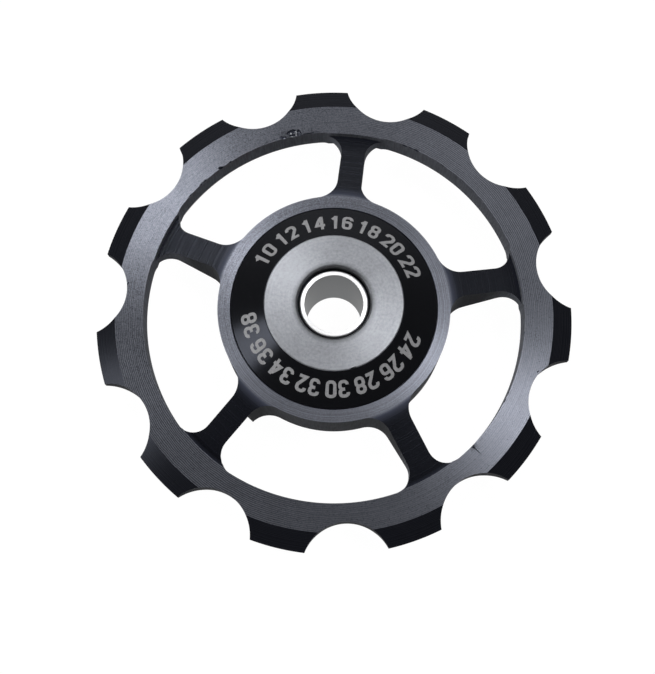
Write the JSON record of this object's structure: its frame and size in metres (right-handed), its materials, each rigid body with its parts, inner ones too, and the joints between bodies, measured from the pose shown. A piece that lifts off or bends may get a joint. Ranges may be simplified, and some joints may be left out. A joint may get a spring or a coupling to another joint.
{
  "type": "derailleur jockey wheel",
  "caption": "Small toothed pulley with open tapered spokes that guides a bicycle chain, turning on a sealed ball bearing under conical covers.",
  "frame": {"origin": "centre of the axle bore, half way through the wheel", "axes": "+Z along the axle bore towards the front face, +X the picture's right, +Y its top"},
  "size_m": [0.0424, 0.0423, 0.0088],
  "materials": {
    "black_anodised": "black anodised over fine turning marks",
    "black_cover": "glossy black anodised",
    "washer_steel": "fine satin",
    "sleeve_steel": "bright turned",
    "bearing_steel": "ground",
    "ball_ceramic": "polished",
    "cage_plastic": "moulded, natural",
    "seal_rubber": "moulded, matt"
  },
  "bodies": {
    "axle": {"axle_sleeve": "sleeve_steel", "bearing_inner_ring": "bearing_steel", "front_cover": "black_cover", "rear_cover": "black_cover", "front_washer": "washer_steel", "rear_washer": "washer_steel"},
    "wheel": {"toothed_wheel": "black_anodised", "bearing_outer_ring": "bearing_steel", "front_seal": "seal_rubber", "rear_seal": "seal_rubber"},
    "cage": {"ball_cage": "cage_plastic"},
    "ball_1": {"bearing_ball_1": "ball_ceramic"},
    "ball_2": {"bearing_ball_2": "ball_ceramic"},
    "ball_3": {"bearing_ball_3": "ball_ceramic"},
    "ball_4": {"bearing_ball_4": "ball_ceramic"},
    "ball_5": {"bearing_ball_5": "ball_ceramic"},
    "ball_6": {"bearing_ball_6": "ball_ceramic"},
    "ball_7": {"bearing_ball_7": "ball_ceramic"},
    "ball_8": {"bearing_ball_8": "ball_ceramic"}
  },
  "joints": [
    {"name": "wheel_spin", "type": "hinge", "parent": "axle", "child": "wheel", "pos_m": [0, 0, 0], "axis": [0, 0, 1], "continuous": true},
    {"name": "cage_spin", "type": "hinge", "parent": "axle", "child": "cage", "pos_m": [0, 0, 0], "axis": [0, 0, 1], "continuous": true},
    {"name": "ball_spin_1", "type": "hinge", "parent": "cage", "child": "ball_1", "pos_m": [0.00525, 0, 0], "axis": [0, 0, 1], "continuous": true},
    {"name": "ball_spin_2", "type": "hinge", "parent": "cage", "child": "ball_2", "pos_m": [0.00371, 0.00371, 0], "axis": [0, 0, 1], "continuous": true},
    {"name": "ball_spin_3", "type": "hinge", "parent": "cage", "child": "ball_3", "pos_m": [0, 0.00525, 0], "axis": [0, 0, 1], "continuous": true},
    {"name": "ball_spin_4", "type": "hinge", "parent": "cage", "child": "ball_4", "pos_m": [-0.00371, 0.00371, 0], "axis": [0, 0, 1], "continuous": true},
    {"name": "ball_spin_5", "type": "hinge", "parent": "cage", "child": "ball_5", "pos_m": [-0.00525, 0, 0], "axis": [0, 0, 1], "continuous": true},
    {"name": "ball_spin_6", "type": "hinge", "parent": "cage", "child": "ball_6", "pos_m": [-0.00371, -0.00371, 0], "axis": [0, 0, 1], "continuous": true},
    {"name": "ball_spin_7", "type": "hinge", "parent": "cage", "child": "ball_7", "pos_m": [0, -0.00525, 0], "axis": [0, 0, 1], "continuous": true},
    {"name": "ball_spin_8", "type": "hinge", "parent": "cage", "child": "ball_8", "pos_m": [0.00371, -0.00371, 0], "axis": [0, 0, 1], "continuous": true}
  ],
  "couplings": [
    {"joint": "cage_spin", "follows": "wheel_spin", "ratio": 0.61338},
    {"joint": "ball_spin_1", "follows": "wheel_spin", "ratio": 2.0916},
    {"joint": "ball_spin_2", "follows": "wheel_spin", "ratio": 2.0916},
    {"joint": "ball_spin_3", "follows": "wheel_spin", "ratio": 2.0916},
    {"joint": "ball_spin_4", "follows": "wheel_spin", "ratio": 2.0916},
    {"joint": "ball_spin_5", "follows": "wheel_spin", "ratio": 2.0916},
    {"joint": "ball_spin_6", "follows": "wheel_spin", "ratio": 2.0916},
    {"joint": "ball_spin_7", "follows": "wheel_spin", "ratio": 2.0916},
    {"joint": "ball_spin_8", "follows": "wheel_spin", "ratio": 2.0916}
  ]
}
